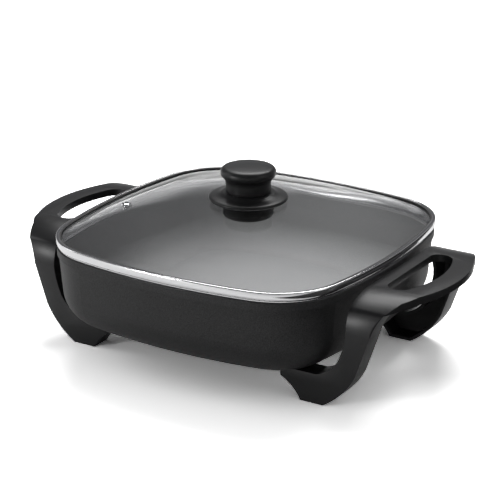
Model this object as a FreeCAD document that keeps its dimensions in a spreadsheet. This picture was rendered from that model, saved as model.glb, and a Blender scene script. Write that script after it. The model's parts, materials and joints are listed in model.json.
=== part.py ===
import FreeCAD, Part
import math
import os
import re

import Sketcher
from FreeCAD import Placement, Rotation, Vector

# Electric skillet with a lift-off glass lid, in millimetres.
# The origin is on the floor under the middle of the pan: +X towards the right handle, +Z up.

doc = FreeCAD.newDocument("electric_skillet")
sizes = doc.addObject("Spreadsheet::Sheet", "Sizes")

# Driving dimensions: one row each, with the name that the features read.
driving = {
    # Outline of the lid and pan: a rounded square with bowed sides
    "lidHalf": 155.0,
    "sideRadius": 523.5,
    "cornerRadius": 69.0,
    # Pan
    "panBase": 30.6,
    "panHeight": 75.7,
    "floorThick": 4.9,
    "wallThick": 3.2,
    "wallDraft": 4.5,
    "outerFillet": 35.0,
    "innerFillet": 30.0,
    "rimInset": 1.0,
    "rimStep": 1.5,
    "rimBand": 7.8,
    "rimBevel": 0.4,
    "rimRound": 0.8,
    # Handles and legs
    "handleTop": 104.0,
    "handleWall": 3.0,
    "plateDeep": 7.0,
    "underArc": 22.0,
    "legFace": 95.4,
    "legDeep": 21.0,
    "railGap": 2.0,
    "gripBeyond": 64.0,
    "gripHalf": 50.0,
    "openingInner": 14.5,
    "openingOuter": 37.0,
    "openingBow": 109.0,
    "gripCorner": 9.0,
    "gripBow": 132.0,
    "gripEnd": 12.0,
    "gripTurn": 72.0,
    "legBeyond": 25.0,
    "lowCreaseDrop": 32.0,
    "highCreaseDrop": 10.0,
    "creaseFace": 89.0,
    "creaseBeyond": 35.0,
    "flatHalf": 55.0,
    "footOuterBack": 19.6,
    "footInnerBack": 42.2,
    "armBack": 63.0,
    "armDrop": 2.3,
    "armThick": 8.7,
    "armStart": 29.2,
    "kneeBack": 13.0,
    "kneeTop": 34.0,
    "railLean": 7.0,
    "railBend": 46.0,
    # Handle screws
    "screwBack": 55.0,
    "screwRadius": 2.5,
    "screwHead": 4.6,
    "headThick": 3.0,
    "washerRadius": 5.0,
    "washerThick": 1.0,
    "screwSeatDrop": 6.3,
    "threadDeep": 4.7,
    "tipGap": 0.4,
    "slotHalf": 0.6,
    "slotDeep": 1.0,
    "bossRadius": 7.0,
    # Heating element and its inlet
    "elementRadius": 3.5,
    "elementDrop": 1.6,
    "ridgeHalf": 6.5,
    "ridgeDrop": 5.0,
    "loopHalf": 72.0,
    "loopBack": 73.0,
    "loopCorner": 24.0,
    "pinRadius": 2.35,
    "pinPlace": 19.0,
    "pinLong": 24.0,
    "studRadius": 1.6,
    "bushThick": 4.0,
    "socketRadius": 4.0,
    "socketBore": 3.3,
    "socketCap": 3.0,
    "socketEndBack": 59.0,
    "socketTipBack": 9.0,
    "blockFaceBack": 24.0,
    "blockLong": 39.0,
    "blockHalf": 27.0,
    "blockBury": 2.4,
    "blockRamp": 13.0,
    "blockLift": 6.5,
    "blockDrop": 8.1,
    "guardDeep": 37.0,
    "guardHalf": 29.0,
    "guardRise": 13.5,
    "guardWall": 2.5,
    "saddleGap": 0.3,
    "guardScrew": 9.5,
    "guardScrewRadius": 1.75,
    "guardScrewDeep": 12.0,
    "guardScrewHead": 3.3,
    "guardHeadThick": 2.2,
    "guardCorner": 5.0,
    "screwEase": 0.2,
    # Lid
    "sheetThick": 0.8,
    "bandRise": 1.7,
    "bandDeep": 8.0,
    "lipWide": 3.4,
    "seatGap": 0.3,
    "skirtGap": 0.5,
    "skirtDeep": 8.0,
    "hemRound": 1.2,
    "gasketWide": 5.2,
    "gasketThick": 1.0,
    "glassThick": 4.0,
    "glassRise": 25.0,
    "glassFlat": 36.0,
    "crownInset": 3.4,
    "crownLean": 2.6,
    "ventRadius": 2.2,
    "ventFlange": 5.0,
    "ventInward": 0.332,
    "ventAlong": -39.0,
    "ventWall": 0.8,
    "ventSeat": 0.4,
    "ventSleeve": 1.6,
    "ventUpward": 0.48,
    # Knob
    "knobRise": 34.7,
    "knobRadius": 26.0,
    "knobDome": 1.2,
    "knobNeck": 21.2,
    "neckRise": 20.2,
    "guardRadius": 37.3,
    "guardTopRise": 9.7,
    "guardEdgeRise": 5.7,
    "washerRise": 1.5,
    "washerWide": 20.0,
    "collarRadius": 23.8,
    "collarDrop": 16.8,
    "collarWasher": 1.2,
    "knobScrewRadius": 2.5,
    "knobScrewHead": 5.0,
    "insertRadius": 4.5,
    "insertDeep": 13.0,
}
# Sizes worked out from the driving ones, so that neighbours move together
worked = {
    # Handles follow the lid's half-size and the pan's base, and their creases the handle's top
    "railInner": "lidHalf + railGap",
    "gripReach": "lidHalf + gripBeyond",
    "gripInner": "lidHalf + openingInner",
    "gripOuter": "lidHalf + openingOuter",
    "legReach": "lidHalf + legBeyond",
    "creaseReach": "lidHalf + creaseBeyond",
    "footOuter": "lidHalf - footOuterBack",
    "footInner": "lidHalf - footInnerBack",
    "armEnd": "lidHalf - armBack",
    "lowCrease": "handleTop - lowCreaseDrop",
    "highCrease": "handleTop - highCreaseDrop",
    "armDeep": "panBase - armDrop",
    "screwPlace": "lidHalf - screwBack",
    "screwSeat": "armDeep - screwSeatDrop",
    # Element and inlet
    "loopReach": "lidHalf - loopBack",
    "socketEnd": "lidHalf - socketEndBack",
    "socketTip": "lidHalf - socketTipBack",
    "blockFace": "lidHalf - blockFaceBack",
    "blockBack": "blockFace - blockLong",
    "blockBase": "panBase - blockDrop",
    # Lid above the pan's rim, and knob above the glass
    "rimTop": "panBase + panHeight",
    "bandBase": "rimTop + bandRise",
    "bandTop": "bandBase + bandDeep",
    "glassEdge": "lidHalf - sheetThick - gasketThick",
    "glassBase": "bandBase + sheetThick + gasketThick",
    "glassRim": "glassBase + glassThick",
    "glassTop": "glassRim + glassRise",
    "glassUnder": "glassBase + glassRise",
    "crownEdge": "glassEdge - crownInset",
    "ventAcross": "-(crownEdge - ventInward * (crownEdge - glassFlat))",
    "ventTop": "glassRim + ventUpward * glassRise",
    "knobTop": "glassTop + knobRise",
    "neckTop": "glassTop + neckRise",
    "guardTop": "glassTop + guardTopRise",
    "guardEdge": "glassTop + guardEdgeRise",
    "collarBase": "glassTop - collarDrop",
}
named = {**driving, **{alias: "=" + formula for alias, formula in worked.items()}}
for row, (alias, size) in enumerate(named.items(), start=1):
    sizes.set(f"A{row}", alias)
    sizes.set(f"B{row}", str(size))
    sizes.setAlias(f"B{row}", alias)
doc.recompute()


# Expressions: sizes are written by name, and each feature is bound to the sheet's cell.
def linked(text):
    """The text with every size's name pointing at the sheet."""
    return re.sub(r"[A-Za-z]+", lambda word: "Sizes." + word[0] if word[0] in named else word[0], text)


def value(text):
    """What a text of sizes comes to now."""
    return float(sizes.evalExpression(linked(str(text))))


def bind(feature, **settings):
    """Ties a feature's properties to the sheet."""
    for name, text in settings.items():
        feature.setExpression(name.replace("__", "."), linked(str(text)))


# Sketches
def originPlane(body, role):
    return next(item for item in body.Origin.OriginFeatures if item.Role == role)


# Turns that put a free sketch's own X and Y on two axes of the part
FACING = {
    "XY": Rotation(0, 0, 0),
    "XZ": Rotation(Vector(1, 0, 0), 90),
    "YZ": Rotation(Vector(1, 1, 1), 120),
}


def arcEdge(start, end, radius):
    """The short arc from start to end: it bulges to the right of the chord, or left if radius < 0."""
    chord = end - start
    rise = abs(radius) - math.sqrt(radius ** 2 - chord.Length ** 2 / 4)
    across = Vector(chord.y, -chord.x, 0).normalize()
    middle = (start + end) / 2 + across * math.copysign(rise, radius)
    return Part.Arc(start, middle, end)


def drawn(sketch, corners):
    """Closed outline through corners (x, y) or (x, y, radius of the arc to the next corner)."""
    places = [Vector(value(corner[0]), value(corner[1]), 0) for corner in corners]
    first = sketch.GeometryCount
    count = len(corners)
    for index, corner in enumerate(corners):
        start, end = places[index], places[(index + 1) % count]
        edge = arcEdge(start, end, value(corner[2])) if len(corner) > 2 else Part.LineSegment(start, end)
        sketch.addGeometry(edge, False)
    for index, corner in enumerate(corners):
        edge, following = first + index, first + (index + 1) % count
        sketch.addConstraint(Sketcher.Constraint("Coincident", edge, endOf(sketch, edge, places, index), following,
                                                 startOf(sketch, following, places, (index + 1) % count)))
    for index, corner in enumerate(corners):
        edge = first + index
        point = startOf(sketch, edge, places, index)
        for kind, text in (("DistanceX", corner[0]), ("DistanceY", corner[1])):
            number = sketch.addConstraint(Sketcher.Constraint(kind, -1, 1, edge, point, value(text)))
            sketch.setExpression(f"Constraints[{number}]", linked(str(text)))
        if len(corner) > 2:
            number = sketch.addConstraint(Sketcher.Constraint("Radius", edge, abs(value(corner[2]))))
            sketch.setExpression(f"Constraints[{number}]", f"abs({linked(str(corner[2]))})")
    return sketch


def startOf(sketch, edge, places, index):
    """Which end of an edge, 1 or 2, lies at its first corner: an arc always runs anticlockwise."""
    return 1 if sketch.getPoint(edge, 1).distanceToPoint(places[index]) < 1e-6 else 2


def endOf(sketch, edge, places, index):
    return 3 - startOf(sketch, edge, places, index)


def bodySketch(body, name, plane, *outlines):
    """A sketch on one of a body's origin planes."""
    sketch = body.newObject("Sketcher::SketchObject", name)
    sketch.AttachmentSupport = (originPlane(body, plane + "_Plane"), [""])
    sketch.MapMode = "FlatFace"
    for corners in outlines:
        drawn(sketch, corners)
    return sketch


def freeSketch(name, plane, corners, height="0"):
    """A sketch of its own, lifted by height along Z, or along X or Y on an upright plane."""
    sketch = doc.addObject("Sketcher::SketchObject", name)
    lift = {"XY": "z", "XZ": "y", "YZ": "x"}[plane]
    sketch.Placement = Placement(Vector(), FACING[plane])
    bind(sketch, **{f"Placement__Base__{lift}": height})
    return drawn(sketch, corners)


# Features
def cylinder(name, radius, height, x="0", y="0", z="0", along=Vector(0, 0, 1)):
    shape = doc.addObject("Part::Cylinder", name)
    shape.Placement = Placement(Vector(), Rotation(Vector(0, 0, 1), along))
    bind(shape, Radius=radius, Height=height, Placement__Base__x=x, Placement__Base__y=y,
         Placement__Base__z=z)
    return shape


def box(name, low, high):
    """A box from its low corner to its high corner, each three texts."""
    shape = doc.addObject("Part::Box", name)
    for side, base, top, axis in zip(("Length", "Width", "Height"), low, high, "xyz"):
        bind(shape, **{side: f"({top}) - ({base})", f"Placement__Base__{axis}": base})
    return shape


def fused(name, *shapes):
    joined = doc.addObject("Part::MultiFuse", name)
    joined.Shapes = list(shapes)
    joined.Refine = True
    return joined


def common(name, *shapes):
    shared = doc.addObject("Part::MultiCommon", name)
    shared.Shapes = list(shapes)
    return shared


def cut(name, base, *tools):
    result = base
    for index, tool in enumerate(tools):
        step = doc.addObject("Part::Cut", name if index == len(tools) - 1 else f"{name}Step{index}")
        step.Base = result
        step.Tool = tool
        result = step
    return result


def extruded(name, sketch, direction, length, start="0"):
    """A sketch pushed length along a direction, from start."""
    shape = doc.addObject("Part::Extrusion", name)
    shape.Base = sketch
    shape.DirMode = "Custom"
    shape.Dir = direction
    shape.Solid = True
    bind(shape, LengthFwd=f"({start}) + ({length})", LengthRev=f"-({start})")
    return shape


def turned(name, label, corners):
    """A body turned about Z from its outline in radius and height."""
    body = doc.addObject("PartDesign::Body", name)
    sketch = bodySketch(body, name + "Profile", "XZ", corners)
    turn = body.newObject("PartDesign::Revolution", name + "Turn")
    turn.Profile = sketch
    turn.ReferenceAxis = (sketch, ["V_Axis"])
    turn.Angle = 360
    body.Tip = turn
    return finished(body, label)


pieces = {}


def finished(shape, label):
    """Names a sub-part's final shape, which names its file."""
    shape.Label = label
    pieces[label] = shape
    return shape


# Outline of the pan and lid: four bowed sides and four corners, all meeting smoothly
def outline(half, side="sideRadius", corner="cornerRadius", spine=False):
    bowed = f"(({half}) - ({side}))"
    spread = f"(({side}) - ({corner}))"
    centre = f"(({bowed} + sqrt(2 * {spread} ^ 2 - {bowed} ^ 2)) / 2)"
    far = f"{bowed} + ({side}) * ({centre} - {bowed}) / {spread}"
    near = f"({side}) * {centre} / {spread}"
    corners = [
        (far, near, corner), (near, far, side), (f"-({near})", far, corner), (f"-({far})", near, side),
        (f"-({far})", f"-({near})", corner), (f"-({near})", f"-({far})", side),
        (near, f"-({far})", corner), (far, f"-({near})", side),
    ]
    return [(half, "0", side)] + corners if spine else corners


def inset(depth, spine=False):
    """The lid's outline drawn in by a depth."""
    return outline(f"lidHalf - ({depth})", f"sideRadius - ({depth})", f"cornerRadius - ({depth})", spine)


def ring(body, name, corners):
    """A section in X and Z carried round the lid's outline."""
    spine = bodySketch(body, name + "Path", "XY", inset("0", spine=True))
    section = bodySketch(body, name + "Section", "XZ", corners)
    pipe = body.newObject("PartDesign::AdditivePipe", name + "Ring")
    pipe.Profile = section
    pipe.Spine = (spine, [f"Edge{number}" for number in range(1, len(inset("0", True)) + 1)])
    body.Tip = pipe
    return pipe


# Pan: rim band, drafted wall, rounded foot of the wall and flat floor
bandFoot = "(rimTop - rimBand)"
bandOuter = "(lidHalf - rimInset)"
wallOuter = f"({bandOuter} - rimStep)"
wallInner = f"({wallOuter} - wallThick)"
mouthHalf = f"({bandOuter} - wallThick)"
floorTop = "(panBase + floorThick)"


def filletEnds(wall, base, radius):
    """Ends of the fillet between a flat base and the drafted wall: (x on the base, x and z on the wall)."""
    centre = f"({wall} - ({bandFoot} - ({base}) - {radius}) * tan(wallDraft) - {radius} / cos(wallDraft))"
    return centre, f"({centre} + {radius} * cos(wallDraft))", f"(({base}) + {radius} * (1 - sin(wallDraft)))"


outerFlat, outerX, outerZ = filletEnds(wallOuter, "panBase", "outerFillet")
innerFlat, innerX, innerZ = filletEnds(wallInner, floorTop, "innerFillet")
floorEdge = f"({outerFlat} - 4)"


def makePan():
    body = doc.addObject("PartDesign::Body", "Pan")
    ring(body, "PanWall", [
        (floorEdge, "panBase"), (outerFlat, "panBase", "outerFillet"), (outerX, outerZ),
        (wallOuter, bandFoot), (bandOuter, f"{bandFoot} + rimBevel"),
        (bandOuter, "rimTop - rimRound", "rimRound"), (f"{bandOuter} - rimRound", "rimTop"),
        (f"{mouthHalf} + rimRound", "rimTop", "rimRound"), (mouthHalf, "rimTop - rimRound"),
        (mouthHalf, f"{bandFoot} + rimBevel"), (wallInner, bandFoot),
        (innerX, innerZ, "-innerFillet"), (innerFlat, floorTop), (floorEdge, floorTop),
    ])
    floor = body.newObject("PartDesign::Pad", "PanFloor")
    floor.Profile = bodySketch(body, "PanFloorOutline", "XY", inset(f"lidHalf - {floorEdge}"))
    floor.Profile[0].AttachmentOffset = Placement(Vector(0, 0, value("panBase")), Rotation())
    bind(floor.Profile[0], AttachmentOffset__Base__z="panBase")
    bind(floor, Length="floorThick")
    body.Tip = floor

    bosses = [
        cylinder(f"Boss{side}{end}", "bossRadius", "panBase + 1 - armDeep", x=f"{side}screwPlace",
                 y=f"{end}{screwAcross}", z="armDeep")
        for side in "+-" for end in "+-"
    ]
    threads = [
        cylinder(f"Thread{side}{end}", "screwRadius", "threadDeep", x=f"{side}screwPlace",
                 y=f"{end}{screwAcross}", z="armDeep")
        for side in "+-" for end in "+-"
    ]
    ridge = swept("Ridge", [("-ridgeHalf", "-ridgeDrop"), ("ridgeHalf", "-ridgeDrop"),
                            ("ridgeHalf", "1"), ("-ridgeHalf", "1")], "panBase")
    groove = tube("Groove", "elementRadius")
    block = extruded("Block", freeSketch("BlockSide", "XZ", [
        ("-blockFace", "blockBase"), ("-blockBack", "blockBase"), ("-blockBack", "panBase + blockBury"),
        ("-blockFace + blockRamp", "panBase + blockBury"), ("-blockFace", "panBase + blockLift"),
    ]), Vector(0, 1, 0), "2 * blockHalf", start="-blockHalf")
    socket = cylinder("SocketHole", "socketRadius", "blockFace - socketEnd", x="-socketEnd",
                      z=elementHeight, along=Vector(-1, 0, 0))
    holes = [
        cylinder(f"GuardThread{end}", "guardScrewRadius", "guardScrewDeep", x="-blockFace + guardScrewDeep",
                 y=f"{end}guardScrew", z=elementHeight, along=Vector(-1, 0, 0)) for end in "+-"
    ]
    shell = fused("PanShell", body, *bosses, ridge, block)
    finished(cut("PanCut", shell, groove, socket, *threads, *holes), "pan_body")


def edgesRounded(name, block, radius):
    """A box with its four edges along X rounded."""
    rounded = doc.addObject("Part::Fillet", name)
    rounded.Base = block
    rounded.Edges = [(number, value(radius), value(radius)) for number in (9, 10, 11, 12)]
    return rounded


# Heating element: a looped tube half sunk in a ridge under the floor
elementHeight = "(panBase - elementDrop)"
screwAcross = "(legFace - legDeep / 2)"


def loopPath(name, height):
    """From one cold end round the loop to the other, in straight runs and quarter arcs."""
    sketch = doc.addObject("Sketcher::SketchObject", name)
    bind(sketch, Placement__Base__z=height)
    coldEnd = "-blockFace"
    bend = "loopCorner / 2"
    corners = [
        (coldEnd, "pinPlace"), (f"-loopReach - {bend}", "pinPlace", f"{bend}"),
        ("-loopReach", f"pinPlace + {bend}"), ("-loopReach", "loopHalf - loopCorner", "-loopCorner"),
        ("-loopReach + loopCorner", "loopHalf"), ("loopReach - loopCorner", "loopHalf", "-loopCorner"),
        ("loopReach", "loopHalf - loopCorner"),
    ]
    mirrored = [(corner[0], f"-({corner[1]})") for corner in reversed(corners)]
    for index, turn in ((0, "-loopCorner"), (2, "-loopCorner"), (4, bend)):
        mirrored[index] += (turn,)
    run = corners + mirrored
    places = [Vector(value(corner[0]), value(corner[1]), 0) for corner in run]
    for index in range(len(run) - 1):
        start, end = places[index], places[index + 1]
        arc = len(run[index]) > 2
        sketch.addGeometry(arcEdge(start, end, value(run[index][2])) if arc else Part.LineSegment(start, end))
    for index, corner in enumerate(run[:-1]):
        point = startOf(sketch, index, places, index)
        for kind, text in (("DistanceX", corner[0]), ("DistanceY", corner[1])):
            number = sketch.addConstraint(Sketcher.Constraint(kind, -1, 1, index, point, value(text)))
            sketch.setExpression(f"Constraints[{number}]", linked(text))
        if index + 2 < len(run):
            sketch.addConstraint(Sketcher.Constraint("Coincident", index, 3 - point, index + 1,
                                                     startOf(sketch, index + 1, places, index + 1)))
        if len(corner) > 2:
            number = sketch.addConstraint(Sketcher.Constraint("Radius", index, abs(value(corner[2]))))
            sketch.setExpression(f"Constraints[{number}]", f"abs({linked(corner[2])})")
    last, point = len(run) - 2, endOf(sketch, len(run) - 2, places, len(run) - 2)
    for kind, text in (("DistanceX", run[-1][0]), ("DistanceY", run[-1][1])):
        number = sketch.addConstraint(Sketcher.Constraint(kind, -1, 1, last, point, value(text)))
        sketch.setExpression(f"Constraints[{number}]", linked(text))
    return sketch, len(run) - 1


def swept(name, corners, height):
    """A section, drawn across the loop's cold end, carried along the whole loop."""
    path, count = loopPath(name + "Path", height)
    section = freeSketch(name + "Section", "YZ", [], "-blockFace")
    bind(section, Placement__Base__y="pinPlace", Placement__Base__z=height)
    if corners:
        drawn(section, corners)
    sweep = doc.addObject("Part::Sweep", name)
    sweep.Spine = (path, [f"Edge{number + 1}" for number in range(count)])
    sweep.Sections = [section]
    sweep.Solid = True
    return sweep


def tube(name, radius):
    sweep = swept(name, [], elementHeight)
    section = sweep.Sections[0]
    section.addGeometry(Part.Circle(Vector(), Vector(0, 0, 1), value(radius)))
    section.addConstraint(Sketcher.Constraint("Coincident", 0, 3, -1, 1))
    number = section.addConstraint(Sketcher.Constraint("Radius", 0, value(radius)))
    section.setExpression(f"Constraints[{number}]", linked(radius))
    return sweep


def makeElement():
    finished(tube("Element", "elementRadius"), "heating_element")


# Inlet under the left handle: two pins in ceramic bushes, a socket for the probe and a guard round them
def makeInlet():
    outward = Vector(-1, 0, 0)
    coldEnd = "-blockFace"
    for end, place in (("+", "back"), ("-", "front")):
        pin = {"y": f"{end}pinPlace", "z": elementHeight, "along": outward}
        finished(fused(f"Pin{place}",
                       cylinder(f"PinStud{place}", "studRadius", "bushThick", x=coldEnd, **pin),
                       cylinder(f"PinEnd{place}", "pinRadius", "pinLong", x=f"{coldEnd} - bushThick", **pin)),
                 f"inlet_pin_{place}")
        finished(cut(f"Bush{place}",
                     cylinder(f"BushRound{place}", "elementRadius", "bushThick", x=coldEnd, **pin),
                     cylinder(f"BushBore{place}", "studRadius", "bushThick", x=coldEnd, **pin)),
                 f"pin_bush_{place}")
    finished(cut("Socket",
                 cylinder("SocketRound", "socketRadius", "socketTip - socketEnd", x="-socketEnd",
                          z=elementHeight, along=outward),
                 cylinder("SocketBoring", "socketBore", "socketTip - socketEnd - socketCap", x="-socketEnd - socketCap",
                          z=elementHeight, along=outward)),
             "probe_socket")
    face, mouth = "-blockFace", "-(blockFace + guardDeep)"
    shroud = box("GuardOuter", (mouth, "-guardHalf", f"{elementHeight} - guardRise"),
                 (face, "guardHalf", f"{elementHeight} + guardRise"))
    rounded = edgesRounded("GuardRounded", shroud, "guardCorner")
    hollow = box("GuardInner", (f"{mouth} - 1", "-guardHalf + guardWall",
                                f"{elementHeight} - guardRise + guardWall"),
                 ("-(blockFace + guardWall)", "guardHalf - guardWall",
                  f"{elementHeight} + guardRise - guardWall"))
    room = edgesRounded("GuardHollow", hollow, "guardCorner - guardWall")
    holes = [
        cylinder(f"GuardHole{index}", radius, "guardWall + 2", x="-blockFace + 1", y=y, z=elementHeight,
                 along=outward)
        for index, (radius, y) in enumerate((
            ("elementRadius", "pinPlace"), ("elementRadius", "-pinPlace"), ("socketRadius", "0"),
            ("guardScrewRadius + screwEase", "guardScrew"), ("guardScrewRadius + screwEase", "-guardScrew")))
    ]
    saddle = cylinder("GuardSaddle", "outerFillet + saddleGap", "2 * guardHalf + 2", x=f"-{outerFlat}",
                      y="guardHalf + 1", z="panBase + outerFillet", along=Vector(0, -1, 0))
    finished(cut("Guard", rounded, room, saddle, *holes), "inlet_guard")
    screws = []
    for end in "+-":
        shank = cylinder(f"GuardShank{end}", "guardScrewRadius", "guardScrewDeep + guardWall",
                         x="-blockFace + guardScrewDeep", y=f"{end}guardScrew", z=elementHeight, along=outward)
        head = cylinder(f"GuardHead{end}", "guardScrewHead", "guardHeadThick", x="-(blockFace + guardWall)",
                        y=f"{end}guardScrew", z=elementHeight, along=outward)
        screws.append(fused(f"GuardScrew{end}", shank, head))
    finished(compound("GuardScrews", screws), "guard_screws")


def compound(name, shapes):
    group = doc.addObject("Part::Compound", name)
    group.Links = shapes
    return group


# Handles: one moulded ribbon each, from foot over the grip to foot, open towards the inside
legInner = "(legFace - legDeep)"
plateBase = "(handleTop - plateDeep)"
lowArc = "((creaseFace - legFace) ^ 2 + (highCrease - lowCrease) ^ 2) / (2 * (legFace - creaseFace))"
highArc = "((creaseFace - flatHalf) ^ 2 + (handleTop - highCrease) ^ 2) / (2 * (handleTop - highCrease))"


def archOuter():
    """Front edge of the ribbon in Y and Z, closed well under the floor."""
    return [
        ("legFace", "-20"), ("legFace", "lowCrease", lowArc), ("creaseFace", "highCrease", highArc),
        ("flatHalf", "handleTop"), ("-flatHalf", "handleTop", highArc), ("-creaseFace", "highCrease", lowArc),
        ("-legFace", "lowCrease"), ("-legFace", "-20"),
    ]


def archInner():
    return [
        (legInner, "-30"), (legInner, f"{plateBase} - underArc", "underArc"),
        (f"{legInner} - underArc", plateBase), (f"-{legInner} + underArc", plateBase, "underArc"),
        (f"-{legInner}", f"{plateBase} - underArc"), (f"-{legInner}", "-30"),
    ]


def legSide():
    """The legs and feet in X and Z: a knee that sweeps in under the pan and stands on a flat foot."""
    return [
        ("footInner", "0"), ("footOuter", "0", "80"), ("legReach - kneeBack", "kneeTop"),
        ("legReach", "lowCrease", "-60"),
        ("creaseReach", "highCrease"), ("gripReach + 2", f"{plateBase} + 1"),
        ("gripReach + 2", "handleTop + 5"), ("railInner", "handleTop + 5"),
        ("railInner", "lowCrease", "-90"), ("railInner - railLean", "railBend", "-34"),
        ("railInner - armStart", "armDeep"), ("armEnd", "armDeep"), ("armEnd", "armDeep - armThick", "-44"),
    ]


def gripPlan():
    """The bowed outer edge of the ribbon from above, in X and Y."""
    edge = [("legReach - 9", "legFace + 8"), ("legReach", "legFace"), ("creaseReach", "creaseFace"),
            ("(creaseReach + gripReach - gripEnd) / 2", "gripTurn"), ("gripReach - gripEnd", "flatHalf")]
    lower = [(x, f"-({y})") for x, y in edge]
    upper = [(x, y) for x, y in reversed(edge)]
    lower[2] += ("90",)
    lower[3] += ("40",)
    lower[4] += ("gripBow",)
    upper[0] += ("40",)
    upper[1] += ("90",)
    return [("armEnd - 10", "-(legFace + 8)")] + lower + upper + [("armEnd - 10", "legFace + 8")]


def gripOpening():
    """The finger opening in X and Y, with rounded corners."""
    end, shoulder = "gripHalf - gripCorner", "gripOuter - 1.4 * gripCorner"
    return [
        ("gripInner", f"-({end})", "gripCorner"), ("gripInner + gripCorner", "-gripHalf"),
        (shoulder, "-gripHalf", "1.5 * gripCorner"), ("gripOuter", f"-({end})", "openingBow"),
        ("gripOuter", end, "1.5 * gripCorner"), (shoulder, "gripHalf"),
        ("gripInner + gripCorner", "gripHalf", "gripCorner"), ("gripInner", end),
    ]


def drawnIn(name, sketch, depth):
    offset = doc.addObject("Part::Offset2D", name)
    offset.Source = sketch
    offset.Join = "Intersection"
    bind(offset, Value=depth)
    return offset


def makeHandle():
    across, along, up = Vector(1, 0, 0), Vector(0, 1, 0), Vector(0, 0, 1)
    span, reach = "2 * legFace + 40", "gripReach + 20"
    arch = freeSketch("ArchOuter", "YZ", archOuter())
    under = freeSketch("ArchInner", "YZ", archInner())
    leg = freeSketch("LegSide", "XZ", legSide())
    plan = freeSketch("GripPlan", "XY", gripPlan(), "-1")
    opening = freeSketch("GripOpening", "XY", gripOpening(), "-1")
    ribbon = common("Ribbon", extruded("ArchSolid", arch, across, reach),
                    extruded("LegSolid", leg, along, span, start="-legFace - 20"),
                    extruded("PlanSolid", plan, up, "handleTop + 10"))
    ribbon = cut("RibbonOpen", ribbon, extruded("UnderSolid", under, across, reach),
                 extruded("OpeningSolid", opening, up, "handleTop + 20"))
    hollow = common("Hollow",
                    extruded("ArchRoom", drawnIn("ArchRoomEdge", arch, "-handleWall"), across, reach),
                    extruded("LegRoom", drawnIn("LegRoomEdge", leg, "-handleWall"), along, span,
                             start="-legFace - 20"),
                    extruded("PlanRoom", drawnIn("PlanRoomEdge", plan, "-handleWall"), up, "handleTop + 10"))
    collar = extruded("OpeningWall", drawnIn("OpeningWallEdge", opening, "handleWall"), up,
                      "handleTop + 20")
    posts = [
        cylinder(f"PostRoom{end}", "washerRadius + handleWall", "armDeep + 2", x="screwPlace",
                 y=f"{end}{screwAcross}", z="-1") for end in "+-"
    ]
    hollow = cut("HollowLeft", hollow, collar, *posts)
    bores = [
        cylinder(f"ScrewHole{end}", "screwRadius + screwEase", "armDeep + 2", x="screwPlace",
                 y=f"{end}{screwAcross}", z="-1") for end in "+-"
    ]
    seats = [
        cylinder(f"HeadRoom{end}", "washerRadius + screwEase", "screwSeat + 1", x="screwPlace",
                 y=f"{end}{screwAcross}", z="-1") for end in "+-"
    ]
    finished(cut("HandleRight", ribbon, hollow, *bores, *seats), "handle_right")
    left = doc.addObject("Part::Mirroring", "HandleLeft")
    left.Source = pieces["handle_right"]
    left.Normal = across
    finished(left, "handle_left")


def makeHandleScrews():
    for side, place in (("+", "right"), ("-", "left")):
        screws, washers = [], []
        for end in "+-":
            spot = {"x": f"{side}screwPlace", "y": f"{end}{screwAcross}"}
            tag = f"{place}{'Back' if end == '+' else 'Front'}"
            shank = cylinder(f"Shank{tag}", "screwRadius", "armDeep + threadDeep - tipGap - screwSeat + washerThick",
                             z="screwSeat - washerThick", **spot)
            head = cylinder(f"Head{tag}", "screwHead", "headThick", z="screwSeat - washerThick - headThick",
                            **spot)
            slot = box(f"Slot{tag}", (f"{spot['x']} - screwHead - 1", f"{spot['y']} - slotHalf",
                                      "screwSeat - washerThick - headThick - 1"),
                       (f"{spot['x']} + screwHead + 1", f"{spot['y']} + slotHalf",
                        "screwSeat - washerThick - headThick + slotDeep"))
            screws.append(cut(f"Screw{tag}", fused(f"ScrewSolid{tag}", shank, head), slot))
            washers.append(cut(f"Washer{tag}",
                               cylinder(f"WasherRound{tag}", "washerRadius", "washerThick",
                                        z="screwSeat - washerThick", **spot),
                               cylinder(f"WasherHole{tag}", "screwRadius", "washerThick",
                                        z="screwSeat - washerThick", **spot)))
        finished(compound(f"Screws{place}", screws), f"handle_screws_{place}")
        finished(compound(f"Washers{place}", washers), f"handle_washers_{place}")


# Lid: steel rim rolled round the glass, with a skirt that drops inside the pan's mouth
skirtOuter = f"({mouthHalf} - skirtGap)"
skirtFoot = "(bandBase - skirtDeep)"
seatHeight = "(rimTop + seatGap)"


def makeSteelRim():
    body = doc.addObject("PartDesign::Body", "SteelRim")
    inner = f"({skirtOuter} - sheetThick)"
    bandInner = "(lidHalf - sheetThick)"
    lipEnd = "(lidHalf - lipWide)"
    ring(body, "SteelRim", [
        (lipEnd, "bandTop"), (lipEnd, "bandTop - sheetThick"), (bandInner, "bandTop - sheetThick"),
        (bandInner, "bandBase + sheetThick"), (inner, "bandBase + sheetThick"),
        (inner, f"{skirtFoot} + 1.8 * hemRound", "hemRound"), (inner, skirtFoot),
        (f"{inner} + 0.2", skirtFoot), (skirtOuter, f"{skirtFoot} + 0.6"), (skirtOuter, seatHeight),
        (f"{skirtOuter} + 2.6", seatHeight), (f"{skirtOuter} + 3.2", "bandBase"),
        ("lidHalf - 0.8", "bandBase", "-0.8"), ("lidHalf", "bandBase + 0.8"),
        ("lidHalf", "bandTop - 1.2", "-1.2"), ("lidHalf - 1.2", "bandTop"),
    ])
    finished(body, "lid_steel_rim")


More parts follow.
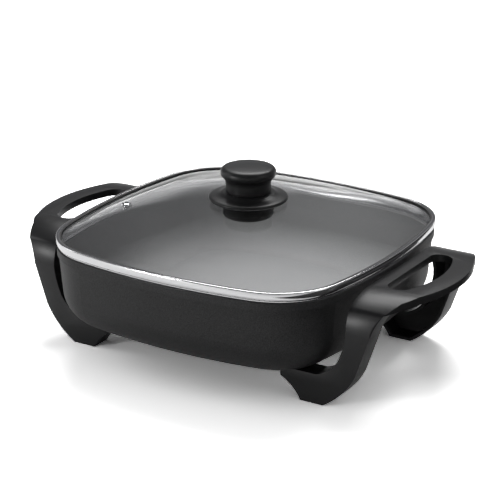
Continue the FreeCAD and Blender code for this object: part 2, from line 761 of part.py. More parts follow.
def makeGasket():
    body = doc.addObject("PartDesign::Body", "Gasket")
    outer, top, base = "(lidHalf - sheetThick)", "(bandTop - sheetThick)", "(bandBase + sheetThick)"
    ends = "(lidHalf - gasketWide)"
    ring(body, "Gasket", [
        (ends, base), (outer, base), (outer, top), (ends, top), (ends, "glassRim"), ("glassEdge", "glassRim"),
        ("glassEdge", "glassBase"), (ends, "glassBase"),
    ])
    finished(body, "lid_rim_gasket")


# Dome of the glass: outlines that rise and grow rounder towards the middle
DOME = (  # share of the way in from the rim, share of the rise, side radius, corner radius
    (0.0, 0.0, "sideRadius - 4", "cornerRadius - 4"),
    (0.1, 0.19, "0.8 * sideRadius", "cornerRadius"),
    (0.28, 0.43, "0.55 * sideRadius", "1.1 * cornerRadius"),
    (0.62, 0.77, "0.3 * sideRadius", "0.9 * cornerRadius"),
    (1.0, 1.0, "glassFlat * 1.4", "glassFlat * 0.85"),
)


def dome(name, rim, base, thinner):
    """Solid under a dome that starts from the rim's half-size at a base height."""
    sections = [
        freeSketch(f"{name}{index}", "XY",
                   outline(f"{rim} - {inward} * ({rim} - glassFlat + {thinner})", side, corner),
                   f"{base} + {upward} * glassRise")
        for index, (inward, upward, side, corner) in enumerate(DOME)
    ]
    loft = doc.addObject("Part::Loft", name)
    loft.Sections = sections
    loft.Solid = True
    loft.Ruled = False
    return loft


def makeGlass():
    plate = extruded("GlassPlate", freeSketch("GlassEdge", "XY", inset("lidHalf - glassEdge"), "glassBase"),
                     Vector(0, 0, 1), "glassThick")
    crown = dome("Crown", "crownEdge", "glassRim", "0")
    room = dome("CrownRoom", "(crownEdge - crownLean)", "glassBase", "1")
    solid = fused("GlassSolid", plate, crown)
    knobHole = cylinder("GlassHole", "knobScrewRadius + 1", "60", z="bandBase")
    ventHole = cylinder("VentHole", "ventRadius + ventWall", "60", x="ventAcross", y="ventAlong", z="bandBase")
    vent = {"x": "ventAcross", "y": "ventAlong"}
    seats = [
        cylinder("VentSeat", "ventFlange + screwEase", "glassRise", z="ventTop + ventSeat", **vent),
        cylinder("VentSeatUnder", "ventFlange", "glassRise",
                 z="ventTop - glassThick - ventSleeve - glassRise", **vent),
    ]
    finished(cut("Glass", solid, room, knobHole, ventHole, *seats), "lid_glass")


def makeVent():
    """A rolled eyelet through the glass: a sleeve with a flange on a ground seat above and another below."""
    outer, foot = "(ventRadius + ventWall)", "(-glassThick - ventSleeve)"
    eyelet = turned("Eyelet", "vent_eyelet", [
        ("ventRadius", f"{foot} - ventSeat"), ("ventRadius", "1.6"), (outer, "2.2"),
        ("ventFlange - 0.6", "1.8"), ("ventFlange", "ventSeat"), (outer, "ventSeat"),
        (outer, foot), ("ventFlange - 0.8", foot), ("ventFlange - 0.8", f"{foot} - ventWall"),
    ])
    bind(eyelet, Placement__Base__x="ventAcross", Placement__Base__y="ventAlong",
         Placement__Base__z="ventTop")


# Knob: grip, heat guard, silicone washers, collar under the glass, insert and screw
guardBase = "(glassTop + washerRise)"
collarTop = "(glassUnder - collarWasher)"
insertTop = "(guardTop + 2 + insertDeep)"


def makeKnob():
    hole = "(knobScrewRadius + 0.3)"
    turned("KnobGuard", "knob_guard", [
        (hole, guardBase), ("guardRadius - 3.4", guardBase), ("guardRadius - 1", f"{guardBase} + 0.8"),
        ("guardRadius", f"{guardBase} + 2.4"), ("guardRadius - 1.6", "guardEdge"),
        ("knobNeck + 5", "guardTop - 1.4", "-14"), ("knobNeck + 0.6", "guardTop"), (hole, "guardTop"),
    ])
    turned("KnobGrip", "knob_grip", [
        ("insertRadius", "guardTop"), ("knobNeck", "guardTop"), ("knobNeck", "neckTop - 4", "5"),
        ("knobNeck + 1.4", "neckTop"), ("knobRadius - 0.8", "neckTop + 3.4", "5"),
        ("knobRadius - 0.4", "knobTop - knobDome - 3.4", "5"),
        ("knobRadius - 4", "knobTop - knobDome", "((knobRadius - 4) ^ 2 + knobDome ^ 2) / (2 * knobDome)"),
        ("0", "knobTop"), ("0", insertTop), ("insertRadius", insertTop),
    ])
    turned("KnobInsert", "knob_insert", [
        ("knobScrewRadius", "guardTop"), ("insertRadius", "guardTop"), ("insertRadius", insertTop),
        ("0", insertTop), ("0", f"{insertTop} - 1.5"), ("knobScrewRadius", f"{insertTop} - 1.5"),
    ])
    turned("WasherAbove", "knob_washer_upper", [
        (hole, "glassTop"), ("washerWide", "glassTop"), ("washerWide", guardBase), (hole, guardBase),
    ])
    turned("WasherBelow", "knob_washer_lower", [
        (hole, collarTop), ("washerWide", collarTop), ("washerWide", "glassUnder"), (hole, "glassUnder"),
    ])
    recess = "(knobScrewHead + 0.5)"
    seat = "(collarBase + 7)"
    turned("Collar", "knob_collar", [
        (hole, seat), (recess, seat), (recess, "collarBase"), ("collarRadius - 2.4", "collarBase", "3"),
        ("collarRadius - 0.4", "collarBase + 2"), ("collarRadius", collarTop), (hole, collarTop),
    ])
    turned("KnobScrew", "knob_screw", [
        ("0", f"{seat} - 3.2"), ("knobScrewHead - 0.8", f"{seat} - 3.2", "0.9"),
        ("knobScrewHead", f"{seat} - 2.2"), ("knobScrewHead", seat), ("knobScrewRadius", seat),
        ("knobScrewRadius", f"{insertTop} - 3"), ("0", f"{insertTop} - 3"),
    ])


makePan()
makeElement()
makeInlet()
makeHandle()
makeHandleScrews()
makeSteelRim()
makeGasket()
makeGlass()
makeVent()
makeKnob()
doc.recompute()

# Nothing is written unless every feature recomputed and every sub-part is a sound solid
for item in doc.Objects:
    if "Invalid" in item.State or "Error" in item.State:
        raise RuntimeError(f"{item.Name} ({item.Label}) failed: {item.State}")
os.makedirs("parts", exist_ok=True)
for label, piece in pieces.items():
    shape = piece.Shape
    if shape.isNull() or not shape.isValid() or not shape.Solids:
        raise RuntimeError(f"{label} has no sound solid")
for label, piece in pieces.items():
    piece.Shape.exportStep(f"parts/{label}.step")
    print(f"{label}: {len(piece.Shape.Solids)} solid(s), {piece.Shape.Volume / 1000:.2f} cm3")
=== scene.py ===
import json
import math

import bpy
from mathutils import Matrix, Vector

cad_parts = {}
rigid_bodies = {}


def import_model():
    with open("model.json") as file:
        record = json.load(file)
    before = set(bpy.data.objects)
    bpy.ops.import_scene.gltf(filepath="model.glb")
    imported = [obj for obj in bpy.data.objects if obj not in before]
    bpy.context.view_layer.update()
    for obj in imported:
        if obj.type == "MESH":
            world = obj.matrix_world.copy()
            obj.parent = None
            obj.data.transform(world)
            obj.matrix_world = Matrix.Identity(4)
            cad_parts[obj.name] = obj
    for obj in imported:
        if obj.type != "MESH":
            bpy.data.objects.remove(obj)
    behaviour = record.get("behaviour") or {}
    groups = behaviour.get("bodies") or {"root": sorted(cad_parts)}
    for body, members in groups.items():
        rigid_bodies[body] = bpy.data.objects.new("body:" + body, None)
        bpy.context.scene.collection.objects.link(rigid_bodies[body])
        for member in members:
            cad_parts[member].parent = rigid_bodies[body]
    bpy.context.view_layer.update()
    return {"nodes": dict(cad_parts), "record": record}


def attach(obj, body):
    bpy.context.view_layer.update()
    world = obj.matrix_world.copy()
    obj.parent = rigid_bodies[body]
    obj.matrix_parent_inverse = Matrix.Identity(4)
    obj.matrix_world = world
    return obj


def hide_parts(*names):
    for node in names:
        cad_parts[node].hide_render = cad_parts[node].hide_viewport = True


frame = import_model()
nodes = frame["nodes"]
mm = 0.001
print("frame loaded:", len(nodes), "nodes")


def deselectAll():
    if bpy.context.object and bpy.context.object.mode != "OBJECT":
        bpy.ops.object.mode_set(mode="OBJECT")
    bpy.ops.object.select_all(action="DESELECT")


# The camera stands where the photograph was taken from, in metres and degrees
camera = {
    "azimuth": 31.73,
    "elevation": 20.31,
    "distance": 1.71785,
    "target": (0.0, 0.0, 0.08893),
    "lens": 131.4,
    "sensor": 36.0,
    "shiftX": 0.0033,
    "shiftY": 0.0015,
}


def makeCamera():
    azimuth, elevation = math.radians(camera["azimuth"]), math.radians(camera["elevation"])
    back = Vector((math.sin(azimuth) * math.cos(elevation), -math.cos(azimuth) * math.cos(elevation),
                   math.sin(elevation)))
    deselectAll()
    bpy.ops.object.camera_add(location=Vector(camera["target"]) + back * camera["distance"])
    eye = bpy.context.object
    eye.name = "camera"
    eye.rotation_mode = "QUATERNION"
    eye.rotation_quaternion = (-back).to_track_quat("-Z", "Y")
    eye.data.sensor_width = camera["sensor"]
    eye.data.lens = camera["lens"]
    eye.data.shift_x = camera["shiftX"]
    eye.data.shift_y = camera["shiftY"]
    bpy.context.scene.camera = eye
    print("camera placed")


makeCamera()

# Soft studio light: four lamps and a pool over a white floor, in a room that is pale low down and dim overhead
studio = {
    "floorSize": 14.0,
    "floorShown": (2.1, 2.1, 2.1, 1),
    "floorLit": (0.85, 0.85, 0.85, 1),
    "roomLow": (0.6, 0.6, 0.61, 1),
    "roomHigh": (0.12, 0.12, 0.125, 1),
    "roomEdge": (0.02, 0.22),
    "roomLight": (0.41, 0.41, 0.41, 1),
    "roomShown": (1.0, 1.0, 1.0, 1),
    "card": {"size": (2.74, 3.2), "place": (1.6, 1.2, 0.002), "color": (0.02, 0.02, 0.02, 1)},
    "pool": {"place": (0.3, -0.35, 1.3), "aim": (0.015, 0.035, 0.0355), "angle": 17.0, "watts": 300.0,
             "radius": 0.05},
    "lamps": (
        # name, place, aimed at, width, height, watts
        ("topLamp", (-0.35, 0.9, 1.6), (0.0, 0.0, 0.05), 1.3, 1.0, 26.0),
        ("leftLamp", (-1.7, -0.5, 0.9), (0.0, 0.0, 0.08), 0.8, 1.2, 4.5),
        ("rightLamp", (1.8, 0.1, 0.9), (0.0, 0.0, 0.08), 0.7, 1.1, 3.0),
        ("frontLamp", (-1.15, -1.9, 0.42), (0.1, -0.1, 0.08), 0.4, 0.3, 14.0),
    ),
}


def seenStraight(tree, *others):
    # 1 for camera rays and the other kinds that are named
    path = tree.nodes.new("ShaderNodeLightPath")
    total = path.outputs["Is Camera Ray"]
    for kind in others:
        either = tree.nodes.new("ShaderNodeMath")
        either.operation = "MAXIMUM"
        tree.links.new(total, either.inputs[0])
        tree.links.new(path.outputs[kind], either.inputs[1])
        total = either.outputs["Value"]
    return total


def mixed(tree, kind, factor, first, second):
    # first where the factor is 0 and second where it is 1, each a value or another node's output
    mix = tree.nodes.new("ShaderNodeMix")
    mix.data_type = kind
    for name, source in (("Factor", factor), ("A", first), ("B", second)):
        if isinstance(source, bpy.types.NodeSocket):
            tree.links.new(source, mix.inputs[name])
        else:
            mix.inputs[name].default_value = source
    return mix.outputs["Result"]


def makeFloor():
    deselectAll()
    bpy.ops.mesh.primitive_plane_add(size=studio["floorSize"], location=(0, 0, 0))
    floor = bpy.context.object
    floor.name = "studioFloor"
    paint = bpy.data.materials.new("studioWhite")
    paint.use_nodes = True
    tree = paint.node_tree
    tree.nodes.clear()
    output = tree.nodes.new("ShaderNodeOutputMaterial")
    matt = tree.nodes.new("ShaderNodeBsdfDiffuse")
    seen = seenStraight(tree, "Is Transmission Ray")
    tree.links.new(mixed(tree, "RGBA", seen, studio["floorLit"], studio["floorShown"]), matt.inputs["Color"])
    tree.links.new(matt.outputs["BSDF"], output.inputs["Surface"])
    floor.data.materials.append(paint)


def makeCard():
    # a dark card on the floor that only gloss sees keeps the object's right side black
    settings = studio["card"]
    deselectAll()
    bpy.ops.mesh.primitive_plane_add(size=1, location=settings["place"])
    card = bpy.context.object
    card.name = "floorCard"
    card.scale = (*settings["size"], 1)
    paint = bpy.data.materials.new("floorCard")
    paint.use_nodes = True
    shader = paint.node_tree.nodes["Principled BSDF"]
    shader.inputs["Base Color"].default_value = settings["color"]
    shader.inputs["Roughness"].default_value = 1.0
    card.data.materials.append(paint)
    for kind in ("camera", "diffuse", "transmission", "shadow", "volume_scatter"):
        setattr(card, "visible_" + kind, False)


def makeRoom():
    world = bpy.data.worlds.new("studioRoom")
    bpy.context.scene.world = world
    world.use_nodes = True
    tree = world.node_tree
    around = tree.nodes.new("ShaderNodeTexCoord")
    split = tree.nodes.new("ShaderNodeSeparateXYZ")
    tree.links.new(around.outputs["Generated"], split.inputs["Vector"])
    height = tree.nodes.new("ShaderNodeMapRange")
    height.interpolation_type = "SMOOTHSTEP"
    height.inputs["From Min"].default_value, height.inputs["From Max"].default_value = studio["roomEdge"]
    tree.links.new(split.outputs["Z"], height.inputs["Value"])
    walls = mixed(tree, "RGBA", height.outputs["Result"], studio["roomLow"], studio["roomHigh"])
    # gloss and glass see the walls, the camera a white backdrop, and the rest is plain light
    seen = seenStraight(tree, "Is Glossy Ray", "Is Transmission Ray")
    room = mixed(tree, "RGBA", seen, studio["roomLight"], walls)
    shown = mixed(tree, "RGBA", seenStraight(tree), room, studio["roomShown"])
    tree.links.new(shown, tree.nodes["Background"].inputs["Color"])


def makeLamp(kind, name, place, aim, watts):
    deselectAll()
    bpy.ops.object.light_add(type=kind, location=place)
    lamp = bpy.context.object
    lamp.name = name
    lamp.data.energy = watts
    lamp.rotation_mode = "QUATERNION"
    lamp.rotation_quaternion = (Vector(aim) - Vector(place)).to_track_quat("-Z", "Y")
    return lamp


def makeSoftLamps():
    made = []
    for name, place, aim, width, height, watts in studio["lamps"]:
        lamp = makeLamp("AREA", name, place, aim, watts)
        lamp.data.shape = "RECTANGLE"
        lamp.data.size = width
        lamp.data.size_y = height
        made.append(lamp)
    return made


def makePoolLamp():
    # a soft pool of light on the pan's floor
    pool = studio["pool"]
    lamp = makeLamp("SPOT", "poolLamp", pool["place"], pool["aim"], pool["watts"])
    lamp.data.spot_size = math.radians(pool["angle"])
    lamp.data.spot_blend = 1.0
    lamp.data.shadow_soft_size = pool["radius"]
    lamp.visible_glossy = False
    return lamp


makeFloor()
makeCard()
makeRoom()
softLamps = makeSoftLamps()
poolLamp = makePoolLamp()
print("studio built")

# Shared effect: grain as colour variation, roughness variation and height
grain = {
    "inputs": (("Scale", 900.0), ("Tint", 0.1), ("Shine", 0.4), ("ShineSpread", 0.05)),
    "base": (0.02, 0.02, 0.02, 1),
    "fineDetail": 2.0,
    "broadScale": 14.0,
    "broadDetail": 3.0,
    "low": 0.3,
    "high": 0.7,
    "middle": 0.5,
}


def makeGrainGroup():
    # a fine noise for the grain, and a broad one for handling marks
    group = bpy.data.node_groups.new("surfaceGrain", "ShaderNodeTree")
    for name, default in grain["inputs"]:
        socket = group.interface.new_socket(name, in_out="INPUT", socket_type="NodeSocketFloat")
        socket.default_value = default
    base = group.interface.new_socket("Base", in_out="INPUT", socket_type="NodeSocketColor")
    base.default_value = grain["base"]
    group.interface.new_socket("Color", in_out="OUTPUT", socket_type="NodeSocketColor")
    for name in ("Roughness", "Height"):
        group.interface.new_socket(name, in_out="OUTPUT", socket_type="NodeSocketFloat")
    make, link = group.nodes.new, group.links.new
    start, end = make("NodeGroupInput"), make("NodeGroupOutput")
    place = make("ShaderNodeTexCoord")
    fine = make("ShaderNodeTexNoise")
    fine.inputs["Detail"].default_value = grain["fineDetail"]
    link(place.outputs["Object"], fine.inputs["Vector"])
    link(start.outputs["Scale"], fine.inputs["Scale"])
    broad = make("ShaderNodeTexNoise")
    broad.inputs["Scale"].default_value = grain["broadScale"]
    broad.inputs["Detail"].default_value = grain["broadDetail"]
    link(place.outputs["Object"], broad.inputs["Vector"])
    # the tint lightens or darkens the base by up to its share
    swing = make("ShaderNodeMapRange")
    swing.inputs["From Min"].default_value = grain["low"]
    swing.inputs["From Max"].default_value = grain["high"]
    swing.inputs["To Min"].default_value = -1.0
    link(fine.outputs["Fac"], swing.inputs["Value"])
    share = make("ShaderNodeMath")
    share.operation = "MULTIPLY_ADD"
    link(swing.outputs["Result"], share.inputs[0])
    link(start.outputs["Tint"], share.inputs[1])
    share.inputs[2].default_value = 1.0
    shade = make("ShaderNodeVectorMath")
    shade.operation = "SCALE"
    link(start.outputs["Base"], shade.inputs[0])
    link(share.outputs["Value"], shade.inputs["Scale"])
    link(shade.outputs["Vector"], end.inputs["Color"])
    # the broad noise moves the roughness either way
    centred = make("ShaderNodeMath")
    centred.operation = "SUBTRACT"
    link(broad.outputs["Fac"], centred.inputs[0])
    centred.inputs[1].default_value = grain["middle"]
    wander = make("ShaderNodeMath")
    wander.operation = "MULTIPLY_ADD"
    link(centred.outputs["Value"], wander.inputs[0])
    link(start.outputs["ShineSpread"], wander.inputs[1])
    link(start.outputs["Shine"], wander.inputs[2])
    link(wander.outputs["Value"], end.inputs["Roughness"])
    link(fine.outputs["Fac"], end.inputs["Height"])
    return group


grainGroup = makeGrainGroup()

# Finishes: base colour, roughness and its spread, metal, sheen, grain per metre, tint share, bump depth in metres
finishes = {
    "coated_aluminium": {"base": (0.011, 0.011, 0.0115), "shine": 0.45, "spread": 0.05, "metal": 0.0, "sheen": 0.3,
                         "scale": 1200.0, "tint": 0.8, "depth": 0.0001},
    "black_moulding": {"base": (0.009, 0.009, 0.0095), "shine": 0.36, "spread": 0.06, "metal": 0.0, "sheen": 0.35,
                       "scale": 2200.0, "tint": 0.1, "depth": 0.00003},
    "black_silicone": {"base": (0.008, 0.008, 0.008), "shine": 0.5, "spread": 0.05, "metal": 0.0, "sheen": 0.5,
                       "scale": 1500.0, "tint": 0.1, "depth": 0.00002},
    "polished_steel": {"base": (0.78, 0.78, 0.79), "shine": 0.12, "spread": 0.05, "metal": 1.0, "sheen": 0.5,
                       "scale": 600.0, "tint": 0.02, "depth": 0.0},
    "screw_steel": {"base": (0.55, 0.55, 0.56), "shine": 0.3, "spread": 0.1, "metal": 1.0, "sheen": 0.5,
                    "scale": 900.0, "tint": 0.08, "depth": 0.00001},
    "nickel": {"base": (0.70, 0.69, 0.66), "shine": 0.2, "spread": 0.08, "metal": 1.0, "sheen": 0.5,
               "scale": 900.0, "tint": 0.05, "depth": 0.00001},
    "socket_metal": {"base": (0.66, 0.66, 0.67), "shine": 0.35, "spread": 0.08, "metal": 1.0, "sheen": 0.5,
                     "scale": 900.0, "tint": 0.05, "depth": 0.00001},
    "element_sheath": {"base": (0.25, 0.24, 0.23), "shine": 0.45, "spread": 0.1, "metal": 1.0, "sheen": 0.5,
                       "scale": 700.0, "tint": 0.2, "depth": 0.00002},
    "ceramic": {"base": (0.80, 0.78, 0.73), "shine": 0.6, "spread": 0.05, "metal": 0.0, "sheen": 0.5,
                "scale": 1200.0, "tint": 0.05, "depth": 0.00002},
    "brass": {"base": (0.72, 0.52, 0.22), "shine": 0.3, "spread": 0.08, "metal": 1.0, "sheen": 0.5,
              "scale": 900.0, "tint": 0.05, "depth": 0.00001},
}


def grainNode(tree, finish):
    node = tree.nodes.new("ShaderNodeGroup")
    node.node_tree = grainGroup
    for socket, name in (("Scale", "scale"), ("Tint", "tint"), ("Shine", "shine"), ("ShineSpread", "spread")):
        node.inputs[socket].default_value = finish[name]
    node.inputs["Base"].default_value = (*finish["base"], 1)
    return node


def makeFinish(name, finish):
    paint = bpy.data.materials.new(name)
    paint.use_nodes = True
    tree = paint.node_tree
    shader = tree.nodes["Principled BSDF"]
    surface = grainNode(tree, finish)
    tree.links.new(surface.outputs["Color"], shader.inputs["Base Color"])
    tree.links.new(surface.outputs["Roughness"], shader.inputs["Roughness"])
    shader.inputs["Metallic"].default_value = finish["metal"]
    shader.inputs["Specular IOR Level"].default_value = finish["sheen"]
    if finish["depth"]:
        bump = tree.nodes.new("ShaderNodeBump")
        bump.inputs["Distance"].default_value = finish["depth"]
        tree.links.new(surface.outputs["Height"], bump.inputs["Height"])
        tree.links.new(bump.outputs["Normal"], shader.inputs["Normal"])
    return paint


# Inside, the pan's coating is lighter and smoother; its faces look towards a point in the mouth, in millimetres
panInside = {"base": (0.105, 0.105, 0.106), "scale": 1500.0, "tint": 0.15, "shine": 0.34, "spread": 0.04,
             "mouth": (0.0, 0.0, 105.0)}


def makePanFinish():
    paint = makeFinish("coated_aluminium", finishes["coated_aluminium"])
    tree = paint.node_tree
    shader = tree.nodes["Principled BSDF"]
    inside = grainNode(tree, panInside)
    place = tree.nodes.new("ShaderNodeTexCoord")
    offset = tree.nodes.new("ShaderNodeVectorMath")
    offset.operation = "SUBTRACT"
    tree.links.new(place.outputs["Object"], offset.inputs[0])
    offset.inputs[1].default_value = Vector(panInside["mouth"]) * mm
    facing = tree.nodes.new("ShaderNodeVectorMath")
    facing.operation = "DOT_PRODUCT"
    tree.links.new(offset.outputs["Vector"], facing.inputs[0])
    tree.links.new(place.outputs["Normal"], facing.inputs[1])
    mask = tree.nodes.new("ShaderNodeMath")
    mask.operation = "LESS_THAN"
    tree.links.new(facing.outputs["Value"], mask.inputs[0])
    mask.inputs[1].default_value = 0.0
    for output, socket, kind in (("Color", "Base Color", "RGBA"), ("Roughness", "Roughness", "FLOAT")):
        outside = shader.inputs[socket].links[0].from_socket
        both = mixed(tree, kind, mask.outputs["Value"], outside, inside.outputs[output])
        tree.links.new(both, shader.inputs[socket])
    return paint


# Glass is clear and lets the lamps through, because shadow rays pass straight
glassPaint = {"color": (0.97, 0.98, 0.98, 1), "roughness": 0.0, "bend": 1.5, "shadow": (0.9, 0.9, 0.9, 1)}


def makeGlass():
    paint = bpy.data.materials.new("clear_glass")
    paint.use_nodes = True
    tree = paint.node_tree
    shader = tree.nodes["Principled BSDF"]
    shader.inputs["Base Color"].default_value = glassPaint["color"]
    shader.inputs["Roughness"].default_value = glassPaint["roughness"]
    shader.inputs["IOR"].default_value = glassPaint["bend"]
    shader.inputs["Transmission Weight"].default_value = 1.0
    clear = tree.nodes.new("ShaderNodeBsdfTransparent")
    clear.inputs["Color"].default_value = glassPaint["shadow"]
    path = tree.nodes.new("ShaderNodeLightPath")
    mix = tree.nodes.new("ShaderNodeMixShader")
    tree.links.new(path.outputs["Is Shadow Ray"], mix.inputs["Fac"])
    tree.links.new(shader.outputs["BSDF"], mix.inputs[1])
    tree.links.new(clear.outputs["BSDF"], mix.inputs[2])
    tree.links.new(mix.outputs["Shader"], tree.nodes["Material Output"].inputs["Surface"])
    return paint


paints = {name: makeFinish(name, finish) for name, finish in finishes.items()}
paints["coated_aluminium"] = makePanFinish()
paints["clear_glass"] = makeGlass()
slots = {part["node"]: part["material_slot"] for part in frame["record"]["subparts"]}
for name, node in nodes.items():
    node.data.materials.clear()
    node.data.materials.append(paints[slots[name]])
print("finishes on every node")


# Helpers that shape and finish the new pieces
def editAll():
    bpy.ops.object.mode_set(mode="EDIT")
    bpy.ops.mesh.select_all(action="SELECT")


def objectMode():
    bpy.ops.object.mode_set(mode="OBJECT")


def applied(piece, kind, **settings):
    # adds a modifier with its settings and applies it
    modifier = piece.modifiers.new(kind.lower(), kind)
    for name, setting in settings.items():
        setattr(modifier, name, setting)
    bpy.ops.object.modifier_apply(modifier=modifier.name)


def openEdges():
    bpy.ops.mesh.select_all(action="DESELECT")
    bpy.ops.mesh.select_non_manifold()


def outwards():
    bpy.ops.mesh.select_all(action="SELECT")
    bpy.ops.mesh.normals_make_consistent(inside=False)
    objectMode()


def finishPiece(piece, body, slot, replaced, smoothAngle):
    deselectAll()
    bpy.context.view_layer.objects.active = piece
    piece.select_set(True)
    bpy.ops.object.transform_apply(location=True, rotation=True, scale=True)
    bpy.ops.object.shade_smooth_by_angle(angle=math.radians(smoothAngle))
    piece.data.materials.clear()
    piece.data.materials.append(paints[slot])
    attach(piece, body)
    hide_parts(*replaced)


# Handles: a merged copy of the CAD moulding, whose flat faces are joined and edges rounded
handle = {"merge": 0.01, "flat": 0.6, "edge": 1.5, "edgeSteps": 3, "sharpFrom": 28.0, "smooth": 32}


def makeHandle(side):
    deselectAll()
    piece = bpy.data.objects.new("handle_moulding_" + side, nodes["handle_" + side].data.copy())
    bpy.context.collection.objects.link(piece)
    bpy.context.view_layer.objects.active = piece
    piece.select_set(True)
    editAll()
    bpy.ops.mesh.remove_doubles(threshold=handle["merge"] * mm)
    bpy.ops.mesh.dissolve_limited(angle_limit=math.radians(handle["flat"]))
    objectMode()
    applied(piece, "BEVEL", width=handle["edge"] * mm, segments=handle["edgeSteps"], limit_method="ANGLE",
            angle_limit=math.radians(handle["sharpFrom"]), use_clamp_overlap=True, harden_normals=False)
    finishPiece(piece, "skillet", "black_moulding", ["handle_" + side], handle["smooth"])
    print("handle", side)


makeHandle("right")
makeHandle("left")

# The lid's outline: four bowed sides and four corners, in millimetres
lidOutline = {"half": 155.0, "side": 523.5, "corner": 69.0, "sideSteps": 26, "cornerSteps": 22}


def outlinePoints(half, side, corner):
    # place on the outline and the way outwards, anticlockwise from the foot of the right side
    bow, spread = half - side, side - corner
    centre = (bow + math.sqrt(2 * spread ** 2 - bow ** 2)) / 2
    lean = math.atan2(centre, centre - bow)
    points = []
    for quarter in range(4):
        turn = Matrix.Rotation(quarter * math.pi / 2, 2)
        for steps, middle, radius, start, end in (
            (lidOutline["sideSteps"], Vector((bow, 0)), side, -lean, lean),
            (lidOutline["cornerSteps"], Vector((centre, centre)), corner, lean, math.pi / 2 - lean),
        ):
            for step in range(steps):
                angle = start + (end - start) * step / steps
                way = Vector((math.cos(angle), math.sin(angle)))
                points.append((turn @ (middle + way * radius), turn @ way))
    return points


def ringPiece(name, rings):
    # rings of places, each at its height, joined in their order and the last to the first
    deselectAll()
    count = len(rings[0][0])
    bpy.ops.mesh.primitive_circle_add(vertices=count)
    piece = bpy.context.object
    piece.name = name
    mesh = piece.data
    for number, (spots, height) in enumerate(rings):
        if number:
            bpy.ops.object.mode_set(mode="EDIT")
            bpy.ops.mesh.extrude_edges_move()
            objectMode()
        for index, spot in enumerate(spots):
            mesh.vertices[number * count + index].co = (spot[0] * mm, spot[1] * mm, height * mm)
    editAll()
    openEdges()
    bpy.ops.mesh.bridge_edge_loops()
    outwards()
    return piece


def rimRings(section):
    # a section of (distance in from the lid's outline, height) carried round it
    edge = outlinePoints(lidOutline["half"], lidOutline["side"], lidOutline["corner"])
    return [([spot - way * inward for spot, way in edge], height) for inward, height in section]


# Steel rim, as distance in from the lid's outline and height, in millimetres
steelRim = {
    "lip": ((3.4, 115.2), (3.4, 115.7), (3.2, 115.95), (2.8, 116.0), (1.3, 116.0), (0.85, 115.9), (0.45, 115.6)),
    "band": ((0.3, 115.1), (0.08, 113.8), (0.0, 112.0), (0.1, 110.9), (0.4, 109.7), (0.9, 108.8), (1.4, 108.25),
             (1.6, 108.0), (1.75, 108.0)),
    "skirt": ((1.8, 107.1), (2.2, 106.6), (4.4, 106.6), (4.7, 106.3), (4.7, 100.8)),
    "hem": ((4.9, 100.2), (5.4, 100.0), (6.0, 100.25), (6.3, 100.9), (6.2, 101.6), (5.65, 102.1)),
    "inside": ((5.5, 102.6), (5.5, 108.3), (5.0, 108.8), (0.8, 108.8), (0.8, 115.2)),
    "smooth": 50,
}


def makeSteelRim():
    section = [point for stretch in ("lip", "band", "skirt", "hem", "inside") for point in steelRim[stretch]]
    piece = ringPiece("lid_rim_band", rimRings(section))
    finishPiece(piece, "lid", "polished_steel", ["lid_steel_rim"], steelRim["smooth"])
    print("steel rim")


makeSteelRim()

# Glass: a flat rim, then a dome that grows rounder inwards, with a surface above and one below, in millimetres
glassDome = {
    "edge": 1.8, "base": 109.8, "rim": 113.8, "ease": 0.5, "rise": 25.0,
    "above": 149.8, "below": 147.2, "flat": 36.0, "flatBelow": 35.0, "hole": 3.5,
    "steps": 40, "crowding": 1.3, "smooth": 35,
    # share of the way in, share of the rise, side radius, corner radius
    "stations": ((0.0, 0.0, 519.5, 65.0), (0.1, 0.19, 418.8, 69.0), (0.28, 0.43, 287.9, 75.9),
                 (0.62, 0.77, 157.1, 62.1), (1.0, 1.0, 50.4, 30.6)),
    "eyelet": {
        "across": -112.02, "along": -39.0, "long": 40.0, "segments": 64,
        # radius, height and way of the hole and of the ground seats above and below
        "cuts": ((3.0, 125.0, 0), (5.2, 126.2, 1), (5.0, 120.2, -1)),
    },
}


def curveAt(column, share):
    # smooth curve through the stations' values
    places = [station[0] for station in glassDome["stations"]]
    values = [station[column] for station in glassDome["stations"]]
    last = len(places) - 1
    slopes = []
    for index in range(last + 1):
        before, after = max(index - 1, 0), min(index + 1, last)
        slopes.append((values[after] - values[before]) / (places[after] - places[before]))
    start = min(max(index for index in range(last + 1) if places[index] <= share), last - 1)
    span = places[start + 1] - places[start]
    along = (share - places[start]) / span
    left = 1 - along
    return (values[start] * (1 + 2 * along) * left ** 2 + values[start + 1] * along ** 2 * (3 - 2 * along)
            + span * slopes[start] * along * left ** 2 - span * slopes[start + 1] * along ** 2 * left)


def domeRings(edge, flat, base):
    rings = []
    for step in range(glassDome["steps"] + 1):
        share = (step / glassDome["steps"]) ** glassDome["crowding"]
        upward, side, corner = (curveAt(column, share) for column in (1, 2, 3))
        points = outlinePoints(edge - share * (edge - flat), side, corner)
        rings.append(([spot for spot, way in points], base + upward * glassDome["rise"]))
    return rings


def holeRing(like):
    # a round hole with as many places as the ring next to it, from the same direction
    count, start = len(like), math.atan2(like[0][1], like[0][0])
    angles = [start + 2 * math.pi * index / count for index in range(count)]
    return [(glassDome["hole"] * math.cos(angle), glassDome["hole"] * math.sin(angle)) for angle in angles]


def cutEyelet(piece):
    eyelet = glassDome["eyelet"]
    for radius, height, way in eyelet["cuts"]:
        middle = height + way * eyelet["long"] / 2
        deselectAll()
        bpy.ops.mesh.primitive_cylinder_add(
            vertices=eyelet["segments"], radius=radius * mm, depth=eyelet["long"] * mm,
            location=(eyelet["across"] * mm, eyelet["along"] * mm, middle * mm))
        cutter = bpy.context.object
        bpy.context.view_layer.objects.active = piece
        applied(piece, "BOOLEAN", operation="DIFFERENCE", solver="EXACT", object=cutter)
        bpy.data.objects.remove(cutter)


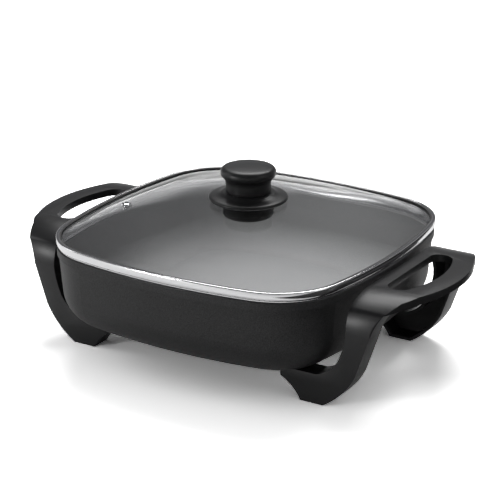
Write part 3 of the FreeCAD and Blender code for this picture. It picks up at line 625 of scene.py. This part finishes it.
def makeDome():
    base, rim, ease, edge = (glassDome[name] for name in ("base", "rim", "ease", "edge"))
    above = domeRings(glassDome["above"], glassDome["flat"], rim)
    below = domeRings(glassDome["below"], glassDome["flatBelow"], base)
    hole = holeRing(above[-1][0])
    rings = rimRings(((edge + ease, base), (edge, base + ease), (edge, rim - ease), (edge + ease, rim)))
    rings += above + [(hole, rim + glassDome["rise"]), (hole, base + glassDome["rise"])] + below[::-1]
    piece = ringPiece("lid_dome", rings)
    cutEyelet(piece)
    finishPiece(piece, "lid", "clear_glass", ["lid_glass"], glassDome["smooth"])
    print("glass dome")


makeDome()

# Knob: a low mushroom grip with an undercut neck, over a wide guard, as radius and height in millimetres
knob = {
    "grip": (
        (4.6, 148.5), (20.4, 148.5), (21.0, 148.8), (21.2, 149.4), (21.2, 156.1), (21.3, 158.3), (21.9, 160.5),
        (23.1, 161.9), (24.4, 163.0), (25.3, 164.3), (25.85, 165.9), (26.0, 167.5), (25.7, 169.1), (24.9, 170.5),
        (23.6, 171.6), (21.8, 172.25), (19.0, 172.65), (14.0, 173.1), (8.0, 173.4), (3.0, 173.48),
    ),
    "guard": (
        (4.0, 140.3), (33.9, 140.3), (35.6, 140.7), (36.7, 141.5), (37.3, 142.7), (37.1, 143.6), (36.3, 144.3),
        (34.9, 144.75), (31.4, 145.4), (28.3, 146.1), (26.2, 147.1), (25.0, 147.9), (23.6, 148.35), (22.0, 148.5),
        (4.0, 148.5),
    ),
    "segments": 96,
    "merge": 0.02,
    "smooth": 40,
}


def turnedPiece(name, profile):
    # a ring is extruded up the profile and its ends are filled
    deselectAll()
    radius, height = profile[0]
    bpy.ops.mesh.primitive_circle_add(vertices=knob["segments"], radius=radius * mm, location=(0, 0, height * mm))
    piece = bpy.context.object
    piece.name = name
    bpy.ops.object.transform_apply(location=True, rotation=False, scale=False)
    editAll()
    for (fromRadius, fromHeight), (toRadius, toHeight) in zip(profile, profile[1:]):
        step = (0, 0, (toHeight - fromHeight) * mm)
        bpy.ops.mesh.extrude_edges_move(TRANSFORM_OT_translate={"value": step})
        scale = toRadius / fromRadius
        bpy.ops.transform.resize(value=(scale, scale, 1), center_override=(0, 0, toHeight * mm))
    bpy.ops.mesh.select_all(action="SELECT")
    bpy.ops.mesh.remove_doubles(threshold=knob["merge"] * mm)
    openEdges()
    bpy.ops.mesh.fill_holes(sides=0)
    outwards()
    return piece


def makeKnob():
    for name, profile, replaced in (("knob_cap", "grip", "knob_grip"), ("knob_flange", "guard", "knob_guard")):
        piece = turnedPiece(name, knob[profile])
        finishPiece(piece, "lid", "black_moulding", [replaced], knob["smooth"])
    print("knob")


makeKnob()


# The soft lamps leave the glass alone, so that it shows the room and not their shapes; the pool's is on the pan
def shareLight():
    lit = bpy.data.collections.new("lampLit")
    for item in bpy.context.scene.objects:
        if item.type == "MESH" and item.name not in ("lid_glass", "lid_dome"):
            lit.objects.link(item)
    for lamp in softLamps:
        lamp.light_linking.receiver_collection = lit
    pan = bpy.data.collections.new("poolLit")
    pan.objects.link(nodes["pan_body"])
    poolLamp.light_linking.receiver_collection = pan
    poolLamp.light_linking.blocker_collection = pan
    print("light shared out")


shareLight()

bpy.context.scene.view_settings.view_transform = "Standard"
